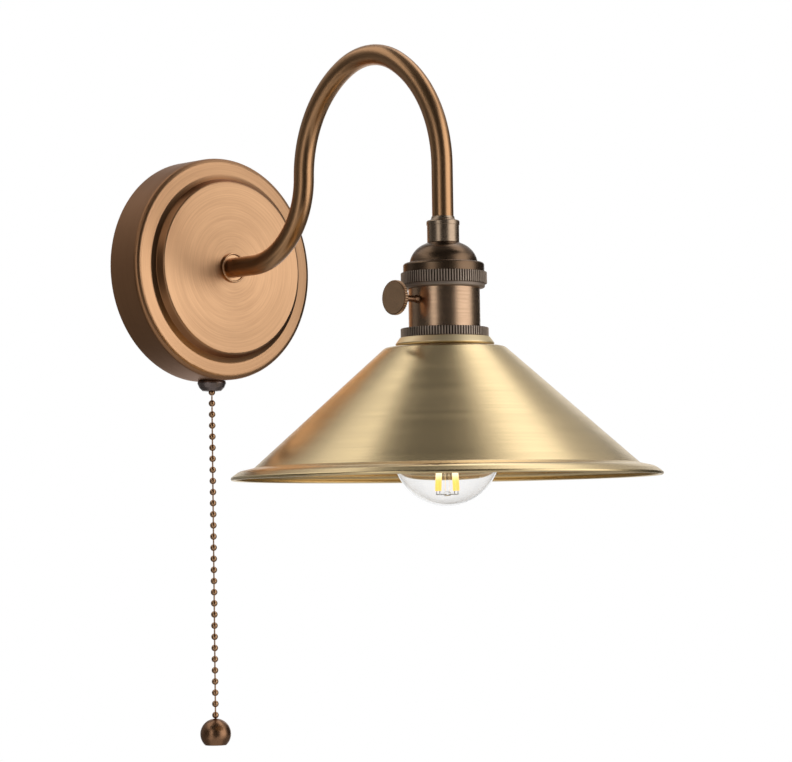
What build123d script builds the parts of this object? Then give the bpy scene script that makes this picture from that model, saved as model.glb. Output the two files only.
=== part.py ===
from build123d import *
import os
from math import cos, pi, radians, sin, sqrt, tan

# A wall light: a round stepped backplate, a swan-neck arm, a turn-switch lampholder and a cone shade,
# with a pull-chain switch under the backplate.
# Millimetres. +Z is up, the wall is the plane Y = 0, and the light stands out from it towards -Y.
# The origin is the centre of the backplate, on the wall. "Depth" is a distance out from the wall.

# ---------------------------------------------------------------- clearances
slip = 0.05             # radial, between pieces that screw, slide or turn in each other
loose = 0.3             # between pieces that only lie near each other
pivot_gap = 0.15        # between a chain bead and the link that swings about it

# ---------------------------------------------------------------- backplate
cover_radius = 67.5
cover_sheet = 1.2
cover_depth = 25.8      # wall to the outer ring's front
cover_edge_round = 3.5
ring_width = 10.2
ring_inner_radius = cover_radius - ring_width
ring_rise = 0.4
step_root_radius = ring_inner_radius - 2.9
step_root_rise = 1.6
disc_radius = step_root_radius - 2.2
disc_depth = 32.7       # wall to the raised disc's front
disc_edge_round = 1.2

plate_radius = cover_radius - 9.5       # steel mounting plate behind the cover
plate_thick = 1.8
bracket_width = 14.0            # brackets on the plate, which hold the cover by its side wall
bracket_thick = 1.8
bracket_depth = 17.0            # wall to a bracket's front edge
bracket_hole_inset = 6.0        # from the front edge to the screw hole
bracket_foot = 12.0             # how far a foot reaches onto the plate
bracket_angles = (60, -60, 180)
screwed_angles = (60, -60)
slot_spacing = 60.0
slot_width = 4.6
slot_length = 14.0
cable_hole_radius = 8.0
cable_hole_x, cable_hole_z = -30.0, 30.0

cover_screw_radius = 2.0
cover_screw_length = 7.0
cover_screw_head_radius = 3.4
cover_screw_head_height = 2.2
screw_slot_width = 0.9
screw_slot_depth = 0.9
small_slot_width = 0.6          # in the headless screws
small_slot_depth = 0.7

block_width, block_height, block_depth = 32.0, 16.0, 12.0
block_z = 36.0
block_edge_round = 1.0
block_ways = 3
block_hole_radius = 1.6
block_screw_radius = 1.4
block_screw_length = 6.0
earth_x, earth_z = 30.0, 28.0
earth_screw_radius = 2.0
earth_head_radius, earth_head_height = 3.5, 2.4
earth_washer_radius = 4.5
earth_washer_thick = 1.0

# ---------------------------------------------------------------- arm
tube_radius = 6.0
tube_wall = 1.2
tube_tail_depth = 21.0          # where the tube ends inside the cover
arm_straight = 19.3             # in front of the disc, before the first bend
rise_bend_radius = 48.0
arch_inner_radius, arch_inner_angle = 66.0, 66.0
arch_top_radius, arch_top_angle = 47.0, 54.0
arch_outer_radius = 74.0
arm_drop = 30.7                 # straight, from the arch to the lampholder's neck
tube_in_neck = 9.8

collar_radius = 9.0
collar_base = 0.6
collar_height = 1.8
collar_lip = 1.0
arm_washer_radius = 11.0
arm_washer_thick = 1.5
arm_nut_across = 19.0
arm_nut_thick = 5.5

flex_radius = 2.0
flex_bend_radius = 13.0
switch_wire_radius = 1.1
switch_wire_lane = 4.0          # to either side of the switch's axis
switch_wire_rise = 14.0         # straight up from the switch
switch_wire_entry = 16.0        # straight up into the terminal block
switch_wire_bend = 10.0
switch_wire_shift = 1.5         # beside the flex, in the same terminal

# ---------------------------------------------------------------- pull switch
switch_depth = 11.0             # depth of the chain and the switch's axis
switch_width, switch_thick, switch_height = 22.0, 14.0, 22.0
switch_wall = 1.5
switch_edge_round = 1.5
switch_bottom = 6.5 - cover_radius
switch_cavity_radius = 5.2
bush_radius = 5.0
bush_bore = 2.7
bush_flange_radius = 7.4
bush_flange_thick = 1.5
bush_end = -cover_radius - 3.5
lock_nut_across = 14.0
lock_nut_thick = 2.5
# Outside of the bell, from the cover down: radius, drop, rounding.
bell_outside = ((8.4, 0, 0.3), (8.75, 1.4, 0.8), (7.55, 4.2, 2.0), (5.65, 6.1, 0.8), (3.9, 6.1, 0.4))
bell_mouth_lip = 0.6            # bush's end up to the edge inside the bell's mouth
pull_travel = 8.0
pull_rod_radius = 0.9
pull_head_radius = 4.8
pull_head_thick = 1.5
spring_radius = 4.6
spring_wire = 1.2
spring_pressed = 3.5            # its height when the chain is pulled right down

bead_radius = 2.05
bead_pitch = 6.75
bead_count = 30
first_bead_z = bush_end - 3.4
link_radius = 0.45
ball_radius = 9.3
ball_flat = 6.7                 # centre of the ball to its flat underside
ball_socket_depth = 2.0         # how deep the last link is held in the ball

# ---------------------------------------------------------------- lampholder, from the top down
neck_lip_radius = 9.25
neck_lip_height = 2.7
neck_radius = 8.95
neck_height = 9.7
neck_flare_height = 2.2
neck_flare_radius = 6.9
neck_flare_edge = 0.35          # thickness of the flare's upper edge
nipple_radius = 4.7
nipple_bore = 3.2
nipple_up, nipple_down = 12.0, 6.0
neck_nut_across = 14.0
neck_nut_thick = 3.5
grub_radius = 1.5
grub_rise = 1.5                 # above the middle of the neck
grub_sunk = 0.2                 # outer end below the neck's surface

barrel_radius = 19.95
barrel_sheet = 1.0
barrel_flange_radius = barrel_radius + 1.55
barrel_flange_thick = 1.2
barrel_visible = 22.2           # clamp ring's lip to the upper shade ring
barrel_skirt = 20.7             # threaded length from the upper shade ring down
skirt_groove_pitch = 2.0
skirt_groove_depth = 0.35

cap_sheet = 1.2
cap_ring_radius = barrel_flange_radius + 1.1
cap_ring_height = 5.4
cap_ring_round = 1.6
dome_height = 11.4
dome_shoulder_radius, dome_shoulder_drop, dome_round = 17.25, 3.9, 13.0
dome_foot_radius = cap_ring_radius - 3.5
clamp_radius = barrel_radius + 4.05
clamp_height = 6.6
clamp_lip_radius = barrel_radius + 2.85
clamp_lip_height = 2.2
knurl_teeth = 96
knurl_depth = 0.55

upper_ring_radius = barrel_radius + 4.55
upper_ring_height = 5.1
lower_ring_radius = barrel_radius + 3.85
lower_ring_height = 5.0

liner_sheet = 0.5
core_top_gap = 2.0              # clamp ring's underside plane to the socket core's top
cap_foot_rise = 0.6             # skirt's end up to the foot of the lamp's cap
core_mouth_radius = 14.4
core_mouth_depth = 2.0
shell_bore = 13.45
shell_sheet = 0.4
strip_width, strip_length = 4.0, 15.0
strip_into_cavity = 1.5
contact_room = 1.5              # round the lamp's contact
insulator_room = 1.0            # round the lamp's insulator
cavity_size = 18.0
holder_terminal_inset = 6.0     # core's outside to the terminal screws' axes
holder_terminal_head_radius, holder_terminal_head_height = 2.6, 1.6

knob_drop = 6.8                 # barrel's visible top to the switch axis
knob_radius = 9.6
knob_thick = 2.6
knob_reach = barrel_radius + 18.25      # lampholder axis to the knob's face
knob_teeth = 44
knob_tooth_depth = 0.5
knob_hub_radius = 2.7
knob_hub_length = 1.4
spindle_radius = 2.0
spindle_waist = 1.75
spindle_collar = 0.35           # how far its two collars stand out
spindle_collar_length = 0.9
spindle_taper = 1.3
spindle_inner_end = 3.0         # lampholder axis to the spindle's inner end
cam_radius = 5.0
cam_thick = 4.0
cam_inset = 1.0                 # from the spindle's inner end
cam_flat = 3.5                  # axis to the flat
cam_room = 1.0                  # above and below the cam

# ---------------------------------------------------------------- shade
shade_sheet = 0.8
shade_collar_top_radius = upper_ring_radius + 0.5
shade_collar_radius = shade_collar_top_radius + 2.6
shade_collar_foot_radius = shade_collar_top_radius + 0.4
shade_collar_height = 5.1
shade_collar_belly_drop = 3.6
shade_collar_bead_drop, shade_collar_bead_in = 4.6, 0.6
shoulder_radius = shade_collar_foot_radius + 8.0
shoulder_drop = 0.4
shoulder_round = 4.5
cone_radius = 107.0
cone_height = 66.3              # shade's top plate to the foot of the cone
lip_bend_radius, lip_bend_drop = 115.3, 1.8
rim_radius = 120.0
rim_drop = 5.4
rim_bead = 1.4                  # rim's outer edge below the foot of its flare
rim_bead_in = 0.7
rim_curl_in, rim_curl_rise = 2.8, 0.3
rim_curl_share = 0.35           # how far up the flare the curled edge closes

# ---------------------------------------------------------------- lamp
lamp_radius = 30.0
lamp_length = 105.0
lamp_neck_radius = 13.0
lamp_taper_angle = 40.0
lamp_taper_round = 40.0
lamp_glass = 0.7
lamp_seat = 1.2                 # how deep the glass stands in the cap
lamp_cap_radius = 13.1
lamp_cap_length = 26.4
lamp_cap_sheet = 0.35
cap_thread_turns = 5
cap_thread_pitch = 25.4 / 7
cap_thread_depth = 0.8
cap_thread_top = 1.6
cap_foot_bead, cap_foot_height = 0.2, 2.0
contact_radius = 4.6
contact_height = 1.0
insulator_radius = 9.4
insulator_height = 2.2
insulator_depth = 1.2           # inside the cap
stem_radius = 1.3
stem_seat = 0.4                 # stem's top above the foot of the cap
# Flare of the glass stem, from its top down: radius, drop, rounding.
stem_flare = ((12.2, 0, 0), (12.2, 1.0, 0.4), (3.0, 11.0, 6.0), (2.1, 22.0, 8.0), (1.3, 30.0, 4.0))
button_radius = 2.1
button_half = 0.9
button_neck = 0.6
button_above_foot = 6.4         # lamp's lowest point to the stem's button
filament_radius = 0.9
filament_length = 38.0
filament_count = 4
filament_turn = 12.0
filament_top_circle, filament_low_circle = 4.6, 7.2
filament_above_foot = 8.4
lamp_wire_radius = 0.3
lamp_wire_hub_radius = 0.5      # where the upper wires meet, above the filaments
lamp_wire_hub_rise = 3.0


# ---------------------------------------------------------------- shape helpers
def corner_cuts(points, roundings):
    """How far each corner's arc reaches along its two sides, shared out where they are too short."""
    count = len(points)
    halves, cuts = [], []
    for index, here in enumerate(points):
        back = (points[index - 1] - here).normalized()
        ahead = (points[(index + 1) % count] - here).normalized()
        half = radians(back.get_angle(ahead)) / 2
        halves.append(half)
        cuts.append(roundings[index] / tan(half) if roundings[index] else 0)
    room = []
    for index, here in enumerate(points):
        side = (points[(index + 1) % count] - here).length
        wanted = cuts[index] + cuts[(index + 1) % count]
        room.append(min(1, side / wanted) if wanted else 1)
    return halves, [cut * min(room[index], room[index - 1]) for index, cut in enumerate(cuts)]


def face_of(corners):
    """Closed flat outline through (radius, height) corners, each with an optional rounding."""
    points = [Vector(corner[0], 0, corner[1]) for corner in corners]
    halves, cuts = corner_cuts(points, [corner[2] if len(corner) > 2 else 0 for corner in corners])
    starts, ends, edges = [], [], []
    for index, here in enumerate(points):
        back = (points[index - 1] - here).normalized()
        ahead = (points[(index + 1) % len(points)] - here).normalized()
        starts.append(here + back * cuts[index])
        ends.append(here + ahead * cuts[index])
        if cuts[index] > 0:
            radius = cuts[index] * tan(halves[index])
            middle = here + (back + ahead).normalized() * (radius / sin(halves[index]) - radius)
            edges.append(Edge.make_three_point_arc(starts[index], middle, ends[index]))
    for index, start in enumerate(starts):
        if (start - ends[index - 1]).length > 1e-6:
            edges.append(Edge.make_line(ends[index - 1], start))
    return Face(Wire(edges))


def turned(corners):
    """Solid of revolution about the vertical axis."""
    return revolve(face_of(corners), Axis.Z)


def pipe(outer, inner, low, high):
    """Upright tube between two heights."""
    return turned([(inner, low), (outer, low), (outer, high), (inner, high)])


def moved_right(path, distance):
    """The path moved sideways, to the right of its direction, with mitred corners."""
    normals = []
    for (r0, z0, *_), (r1, z1, *_) in zip(path, path[1:]):
        length = sqrt((r1 - r0) ** 2 + (z1 - z0) ** 2)
        normals.append(((z1 - z0) / length, (r0 - r1) / length))
    result = []
    for index, corner in enumerate(path):
        before = normals[max(index - 1, 0)]
        after = normals[min(index, len(normals) - 1)]
        share = distance / (1 + before[0] * after[0] + before[1] * after[1])
        turn = before[0] * after[1] - before[1] * after[0]
        rounding = corner[2] if len(corner) > 2 else 0
        if rounding:
            rounding = max(rounding + (distance if turn > 0 else -distance), 0)
        result.append((corner[0] + (before[0] + after[0]) * share,
                       corner[1] + (before[1] + after[1]) * share, rounding))
    return result


def shell(path, sheet, end=()):
    """Sheet-metal or glass wall: an outer path with its inside on the right, and its end corners."""
    return turned(list(path) + list(end) + moved_right(path, sheet)[::-1])


def star(radius, depth, teeth):
    """Flat knurled outline with flat-topped teeth."""
    points = []
    for tooth in range(teeth):
        for share, height in ((0.0, -depth), (0.25, -depth), (0.45, 0.0), (0.8, 0.0)):
            angle = 2 * pi * (tooth + share) / teeth
            points.append(((radius + height) * cos(angle), (radius + height) * sin(angle)))
    return make_face(Polyline(*points, close=True))


def knurled(body, radius, depth, teeth, low, high):
    """A turned body whose outside between two heights is cut into teeth."""
    band = Pos(0, 0, low) * extrude(Circle(radius + 1) - star(radius, depth, teeth), high - low)
    return body - band


def hexagon(across, thick, bore):
    """Nut lying on the plane Z = 0."""
    return extrude(RegularPolygon(across / 2, 6, major_radius=False) - Circle(bore), thick)


def slotted_screw(radius, length, head_radius, head_height):
    """Screw with its head standing on the plane Z = 0 and its shank below."""
    head = turned([(0, 0), (head_radius, 0), (head_radius, head_height, head_height * 0.6), (0, head_height)])
    slot = Pos(0, 0, head_height) * Box(3 * head_radius, screw_slot_width, 2 * screw_slot_depth)
    return head + Pos(0, 0, -length) * Cylinder(radius, length, align=FLOOR) - slot


def rod(start, end, radius):
    """Round bar between two points."""
    line = Vector(*end) - Vector(*start)
    frame = Plane(origin=start, z_dir=line)
    return frame * Cylinder(radius, line.length, align=FLOOR)


def swept(section, path):
    """A section at the start of a path, drawn along it."""
    start = Plane(origin=path @ 0, z_dir=path % 0)
    return sweep(start * section, path=path)


FLOOR = (Align.CENTER, Align.CENTER, Align.MIN)
out_of_wall = Rot(90, 0, 0)         # turns a piece built upright to point out of the wall
out_of_side = Rot(0, -90, 0)        # turns it to point towards -X, the switch knob's side
side_plane = Plane(origin=(0, 0, 0), x_dir=(0, -1, 0), z_dir=(-1, 0, 0))    # depth across, height up
parts = {}

# ---------------------------------------------------------------- backplate cover
cover_path = [
    (tube_radius + slip, disc_depth),
    (disc_radius, disc_depth, disc_edge_round),
    (step_root_radius, cover_depth + ring_rise + step_root_rise, 0.6),
    (ring_inner_radius, cover_depth + ring_rise, 1.5),
    (cover_radius, cover_depth, cover_edge_round),
    (cover_radius, 0),
]
cover = out_of_wall * shell(cover_path, cover_sheet)
switch_axis = Pos(0, -switch_depth, 0)
cover -= switch_axis * Pos(0, 0, -cover_radius) * Cylinder(bush_radius + slip, 6 * cover_sheet)
screw_hole_depth = bracket_depth - bracket_hole_inset


def at_bracket(angle, radius):
    """Place on a bracket's radial line, at its hole's depth: local Z points outwards along it."""
    return Pos(0, -screw_hole_depth, 0) * Rot(0, 90 - angle, 0) * Pos(0, 0, radius)


for angle in screwed_angles:
    cover -= at_bracket(angle, cover_radius) * Cylinder(cover_screw_radius + slip, 6 * cover_sheet)
parts["backplate_cover"] = cover

# ---------------------------------------------------------------- mounting plate and the cover's brackets
cover_inside = cover_radius - cover_sheet
bracket_outside = sqrt((cover_inside - loose) ** 2 - (bracket_width / 2) ** 2)
plate = out_of_wall * Cylinder(plate_radius, plate_thick, align=FLOOR)
foot_low = plate_radius - bracket_foot
bracket_rise = bracket_depth - plate_thick
brackets = []
for angle in bracket_angles:
    foot = Pos(0, 0, foot_low) * Box(bracket_width, bracket_thick, bracket_outside - foot_low,
                                     align=(Align.CENTER, Align.MAX, Align.MIN))
    wall = Pos(0, 0, bracket_outside) * Box(bracket_width, bracket_rise, bracket_thick,
                                            align=(Align.CENTER, Align.MAX, Align.MAX))
    bracket = Rot(0, 90 - angle, 0) * Pos(0, -plate_thick, 0) * (foot + wall)
    if angle in screwed_angles:
        bracket -= at_bracket(angle, bracket_outside) * Cylinder(cover_screw_radius + slip, 3 * bracket_thick)
    brackets.append(bracket)
parts["cover_brackets"] = Compound(children=brackets)
for side in (-1, 1):
    slot = extrude(SlotOverall(slot_length, slot_width), 3 * plate_thick, both=True)
    plate -= Pos(side * slot_spacing / 2, 0, 0) * out_of_wall * slot
plate -= Pos(cable_hole_x, 0, cable_hole_z) * out_of_wall * Cylinder(cable_hole_radius, 4 * plate_thick)
plate -= Pos(earth_x, 0, earth_z) * out_of_wall * Cylinder(earth_screw_radius, 4 * plate_thick)
parts["wall_plate"] = plate

cover_screw = slotted_screw(cover_screw_radius, cover_screw_length, cover_screw_head_radius,
                            cover_screw_head_height)
parts["cover_screws"] = Compound(children=[at_bracket(angle, cover_radius) * cover_screw for angle in screwed_angles])

# ---------------------------------------------------------------- terminals on the plate
block_centre_depth = plate_thick + block_depth / 2
block = Box(block_width, block_depth, block_height)
block = fillet(block.edges().filter_by(Axis.Z), block_edge_round)
way_pitch = block_width / block_ways
ways = [(index - (block_ways - 1) / 2) * way_pitch for index in range(block_ways)]
for way in ways:
    block -= Pos(way, 0, 0) * Cylinder(block_hole_radius, 2 * block_height)
    for row in (-1, 1):
        block -= Pos(way, -block_depth / 2, row * block_height / 4) * out_of_wall * Cylinder(
            block_screw_radius + slip, block_depth)
parts["terminal_block"] = Pos(0, -block_centre_depth, block_z) * block

block_front = plate_thick + block_depth
block_screws = []
for way in ways:
    for row in (-1, 1):
        screw = Pos(0, 0, -block_screw_length) * Cylinder(block_screw_radius, block_screw_length, align=FLOOR)
        screw -= Box(4 * block_screw_radius, small_slot_width, 2 * small_slot_depth)
        block_screws.append(Pos(way, -block_front, block_z + row * block_height / 4) * out_of_wall * screw)
parts["terminal_screws"] = Compound(children=block_screws)

earth_place = Pos(earth_x, -plate_thick, earth_z) * out_of_wall
parts["earth_washer"] = earth_place * pipe(earth_washer_radius, earth_screw_radius + slip, 0, earth_washer_thick)
earth_screw = slotted_screw(earth_screw_radius - slip, earth_washer_thick + plate_thick,
                            earth_head_radius, earth_head_height)
parts["earth_screw"] = earth_place * Pos(0, 0, earth_washer_thick) * earth_screw

# ---------------------------------------------------------------- arm
arch_outer_angle = 180 - arch_inner_angle - arch_top_angle


def arm_line(start_depth, drop):
    """The arm's centre line in the side plane, from a depth inside the cover to its lower end."""
    level = Line((start_depth, 0), (disc_depth + arm_straight, 0))
    rise = JernArc(level @ 1, level % 1, rise_bend_radius, 90)
    inner = JernArc(rise @ 1, rise % 1, arch_inner_radius, -arch_inner_angle)
    top = JernArc(inner @ 1, inner % 1, arch_top_radius, -arch_top_angle)
    outer = JernArc(top @ 1, top % 1, arch_outer_radius, -arch_outer_angle)
    fall = Line(outer @ 1, (outer @ 1) + (outer % 1) * drop)
    return level, rise, inner, top, outer, fall


def as_path(pieces):
    """Joins pieces drawn in the side plane to one wire in space."""
    return side_plane * Wire([edge for piece in pieces for edge in piece.edges()])


tube_pieces = arm_line(tube_tail_depth, arm_drop + tube_in_neck)
arch_end = tube_pieces[4] @ 1
reach = arch_end.X                  # wall to the lampholder's axis
neck_top = arch_end.Y - arm_drop    # top face of the lampholder's neck
tube_path = as_path(tube_pieces)
parts["arm_tube"] = swept(Circle(tube_radius) - Circle(tube_radius - tube_wall), tube_path)

collar = turned([
    (tube_radius + slip, 0), (collar_radius, 0), (collar_radius, collar_height, 0.5),
    (collar_radius - collar_lip, collar_height, 0.4), (collar_radius - collar_lip, collar_base, 0.3),
    (tube_radius + slip, collar_base),
])
parts["root_collar"] = Pos(0, -disc_depth, 0) * out_of_wall * collar

behind_disc = disc_depth - cover_sheet
washer = pipe(arm_washer_radius, tube_radius + slip, behind_disc - arm_washer_thick, behind_disc)
parts["arm_washer"] = out_of_wall * washer
nut_front = behind_disc - arm_washer_thick
arm_nut = out_of_wall * Pos(0, 0, nut_front - arm_nut_thick) * hexagon(arm_nut_across, arm_nut_thick,
                                                                       tube_radius + slip)
parts["arm_nut"] = arm_nut

# ---------------------------------------------------------------- pull switch
switch_top = switch_bottom + switch_height
switch_body = Box(switch_width, switch_thick, switch_height, align=FLOOR)
switch_body = fillet(switch_body.edges().filter_by(Axis.Z), switch_edge_round)
switch_hollow = switch_height - 2 * switch_wall
switch_body -= Pos(0, 0, switch_wall) * Cylinder(switch_cavity_radius, switch_hollow, align=FLOOR)
switch_body -= Cylinder(bush_bore, 4 * switch_wall)
parts["pull_switch_body"] = switch_axis * Pos(0, 0, switch_bottom) * switch_body

flange_low = switch_bottom - bush_flange_thick
bush = pipe(bush_flange_radius, bush_bore, flange_low, switch_bottom)
bush += pipe(bush_radius, bush_bore, bush_end, flange_low)
parts["pull_switch_bush"] = switch_axis * bush
lock_nut = Pos(0, 0, flange_low - lock_nut_thick) * hexagon(lock_nut_across, lock_nut_thick, bush_radius + slip)
parts["pull_switch_nut"] = switch_axis * lock_nut

bell_top = -cover_radius
bell_corners = [(radius, bell_top - drop, rounding) for radius, drop, rounding in bell_outside]
bell_corners += [
    (bush_bore + slip, bush_end - bell_mouth_lip, 0.5), (bush_bore + slip, bush_end - slip),
    (bush_radius + slip, bush_end - slip), (bush_radius + slip, bell_top),
]
parts["pull_switch_bell"] = switch_axis * turned(bell_corners)

spring_low = switch_bottom + switch_wall
head_low = spring_low + spring_pressed + pull_travel
inner_bead_z = first_bead_z + bead_pitch


def bead(height):
    """One ball of the chain."""
    return Pos(0, 0, height) * Sphere(bead_radius)


pull_rod = Pos(0, 0, head_low) * Cylinder(pull_head_radius, pull_head_thick, align=FLOOR)
pull_rod += Pos(0, 0, inner_bead_z) * Cylinder(pull_rod_radius, head_low - inner_bead_z, align=FLOOR)
pull_rod += bead(inner_bead_z)
pull_rod += Pos(0, 0, first_bead_z) * Cylinder(link_radius, bead_pitch, align=FLOOR)
pull_rod += bead(first_bead_z)
parts["switch_pull_rod"] = switch_axis * pull_rod
parts["switch_spring"] = switch_axis * pipe(spring_radius, spring_radius - spring_wire, spring_low, head_low)

# The chain swings sideways about its first bead and away from the wall about its second.
link_top = bead_radius + pivot_gap
second_bead_z = first_bead_z - bead_pitch
chain_head = bead(second_bead_z)
chain_head += Pos(0, 0, second_bead_z) * Cylinder(link_radius, bead_pitch - link_top, align=FLOOR)
parts["chain_second_bead"] = switch_axis * chain_head

last_bead_z = first_bead_z - (bead_count - 1) * bead_pitch
ball_top_z = last_bead_z - bead_radius
link_end_z = ball_top_z - ball_socket_depth
chain = Pos(0, 0, link_end_z) * Cylinder(link_radius, second_bead_z - link_top - link_end_z, align=FLOOR)
for index in range(2, bead_count):
    chain += bead(first_bead_z - index * bead_pitch)
parts["pull_chain"] = switch_axis * chain

ball_z = ball_top_z - ball_radius
pull_ball = Sphere(ball_radius) - Pos(0, 0, -ball_flat - ball_radius) * Box(*[2 * ball_radius] * 3)
pull_ball -= Pos(0, 0, ball_radius) * Cylinder(link_radius + slip, 2 * ball_socket_depth)
parts["pull_ball"] = switch_axis * Pos(0, 0, ball_z) * pull_ball

# ---------------------------------------------------------------- heights of the lampholder
holder_axis = Pos(0, -reach, 0)
lip_low = neck_top - neck_lip_height
cap_top = lip_low - neck_height
dome_foot = cap_top - dome_height
clamp_top = dome_foot - cap_ring_height
clamp_low = clamp_top - clamp_height
barrel_top = clamp_low - clamp_lip_height
upper_ring_top = barrel_top - barrel_visible
shade_top = upper_ring_top - upper_ring_height
plate_top = shade_top - shade_collar_height
lower_ring_top = plate_top - shade_sheet
skirt_end = upper_ring_top - barrel_skirt
knob_z = barrel_top - knob_drop

# ---------------------------------------------------------------- neck
tube_end = neck_top - tube_in_neck
neck = turned([
    (tube_radius + slip, neck_top + neck_flare_height),
    (tube_radius + neck_flare_edge, neck_top + neck_flare_height),
    (neck_flare_radius, neck_top, 1.6), (neck_lip_radius, neck_top, 1.0), (neck_lip_radius, lip_low, 0.2),
    (neck_radius, lip_low), (neck_radius, cap_top, 0.3), (nipple_radius + slip, cap_top),
    (nipple_radius + slip, tube_end), (tube_radius + slip, tube_end),
])
grub_z = lip_low - neck_height / 2 + grub_rise
grub_place = Pos(tube_radius, 0, grub_z) * Rot(0, 90, 0)
neck -= grub_place * Cylinder(grub_radius + slip, neck_radius, align=FLOOR)
parts["neck_bush"] = holder_axis * neck
grub_length = neck_radius - tube_radius - grub_sunk
grub = Cylinder(grub_radius, grub_length, align=FLOOR)
grub -= Pos(0, 0, grub_length) * Box(4 * grub_radius, small_slot_width, 2 * small_slot_depth)
parts["neck_grub_screw"] = holder_axis * grub_place * grub

nipple = pipe(nipple_radius, nipple_bore, cap_top - nipple_down, cap_top + nipple_up)
parts["neck_nipple"] = holder_axis * nipple
nut_top = cap_top - cap_sheet
neck_nut = Pos(0, 0, nut_top - neck_nut_thick) * hexagon(neck_nut_across, neck_nut_thick, nipple_radius + slip)
parts["neck_nut"] = holder_axis * neck_nut

# ---------------------------------------------------------------- cap, clamp ring and barrel
cap_path = [
    (nipple_radius + slip, cap_top), (neck_radius, cap_top),
    (dome_shoulder_radius, cap_top - dome_shoulder_drop, dome_round), (dome_foot_radius, dome_foot, 0.4),
    (cap_ring_radius, dome_foot, cap_ring_round), (cap_ring_radius, clamp_top),
]
parts["holder_cap"] = holder_axis * shell(cap_path, cap_sheet)

flange_seat = clamp_top - barrel_flange_thick - slip
clamp = turned([
    (barrel_flange_radius + slip, clamp_top), (clamp_radius, clamp_top, 0.5), (clamp_radius, clamp_low, 0.5),
    (clamp_lip_radius, clamp_low), (clamp_lip_radius, barrel_top, 0.9), (barrel_radius + slip, barrel_top),
    (barrel_radius + slip, flange_seat), (barrel_flange_radius + slip, flange_seat),
])
clamp = knurled(clamp, clamp_radius, knurl_depth, knurl_teeth, clamp_low, clamp_top)
parts["clamp_ring"] = holder_axis * clamp

barrel_bore = barrel_radius - barrel_sheet
barrel = pipe(barrel_flange_radius, barrel_bore, flange_seat, clamp_top - slip)
barrel += pipe(barrel_radius, barrel_bore, skirt_end, flange_seat)
groove_count = int((barrel_skirt - upper_ring_height) / skirt_groove_pitch)
for index in range(groove_count):
    groove_z = skirt_end + (index + 0.5) * skirt_groove_pitch
    groove = [(barrel_radius - skirt_groove_depth, groove_z), (barrel_radius + 1, groove_z - skirt_groove_pitch / 2),
              (barrel_radius + 1, groove_z + skirt_groove_pitch / 2)]
    barrel -= turned(groove)
knob_place = Pos(0, 0, knob_z) * out_of_side
barrel -= knob_place * Pos(0, 0, barrel_bore - 1) * Cylinder(spindle_radius + slip, barrel_sheet + 2, align=FLOOR)
parts["holder_barrel"] = holder_axis * barrel

upper_ring = turned([
    (barrel_radius + slip, shade_top), (upper_ring_radius, shade_top, 0.5),
    (upper_ring_radius, upper_ring_top, 0.5), (barrel_radius + slip, upper_ring_top),
])
upper_ring = knurled(upper_ring, upper_ring_radius, knurl_depth, knurl_teeth, shade_top, upper_ring_top)
parts["upper_shade_ring"] = holder_axis * upper_ring
lower_ring = turned([
    (barrel_radius + slip, lower_ring_top - lower_ring_height),
    (lower_ring_radius, lower_ring_top - lower_ring_height, 1.0), (lower_ring_radius, lower_ring_top, 0.5),
    (barrel_radius + slip, lower_ring_top),
])
parts["lower_shade_ring"] = holder_axis * lower_ring

# ---------------------------------------------------------------- inside the barrel
core_top = clamp_low + core_top_gap
liner_radius = barrel_bore - slip
core_radius = liner_radius - liner_sheet - slip
core_end = skirt_end + core_mouth_depth
spindle_hole = knob_place * Cylinder(spindle_radius + slip, barrel_bore, align=FLOOR)
liner = pipe(liner_radius, liner_radius - liner_sheet, core_end, core_top)
parts["insulating_liner"] = holder_axis * (liner - spindle_hole)

contact_top = skirt_end + cap_foot_rise + lamp_cap_length   # the lamp's contact meets the socket's strip here
shell_top = contact_top - contact_height - insulator_height
shell_radius = shell_bore + shell_sheet
core = Pos(0, 0, core_end) * Cylinder(core_radius, core_top - core_end, align=FLOOR)
core -= Pos(0, 0, core_end) * Cylinder(shell_radius + slip, shell_top + shell_sheet - core_end, align=FLOOR)
core -= Pos(0, 0, core_end) * Cylinder(core_mouth_radius, core_mouth_depth, align=FLOOR)
cavity_low = knob_z - cam_radius - cam_room
cavity_high = knob_z + cam_radius + cam_room
strip_low = contact_top + slip
strip_top = strip_low + shell_sheet
core -= Pos(0, 0, cavity_low) * Box(cavity_size, cavity_size, cavity_high - cavity_low, align=FLOOR)
core -= Pos(0, 0, shell_top) * Cylinder(insulator_radius + insulator_room, strip_top - shell_top, align=FLOOR)
core -= Pos(0, 0, shell_top) * Cylinder(contact_radius + contact_room, cavity_high - shell_top, align=FLOOR)
core -= spindle_hole
terminal_y = core_radius - holder_terminal_inset
for side in (-1, 1):
    core -= Pos(0, side * terminal_y, core_top) * Cylinder(block_screw_radius + slip, 2 * block_screw_length)
parts["socket_core"] = holder_axis * core

socket_shell = pipe(shell_radius, shell_bore, core_end + core_mouth_depth, shell_top)
socket_shell += pipe(shell_radius, insulator_radius + insulator_room, shell_top, shell_top + shell_sheet)
parts["screw_shell"] = holder_axis * socket_shell
contact_strip = Pos(0, 0, strip_low) * Box(strip_width, strip_length, shell_sheet, align=FLOOR)
strip_rise = cavity_low + strip_into_cavity - strip_low
contact_strip += Pos(0, contact_radius - shell_sheet / 2, strip_low) * Box(
    strip_width, shell_sheet, strip_rise, align=FLOOR)
parts["centre_contact"] = holder_axis * contact_strip
terminal_screw = slotted_screw(block_screw_radius, block_screw_length, holder_terminal_head_radius,
                               holder_terminal_head_height)
parts["holder_terminal_screws"] = Compound(children=[
    holder_axis * Pos(0, side * terminal_y, core_top) * terminal_screw for side in (-1, 1)])

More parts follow.
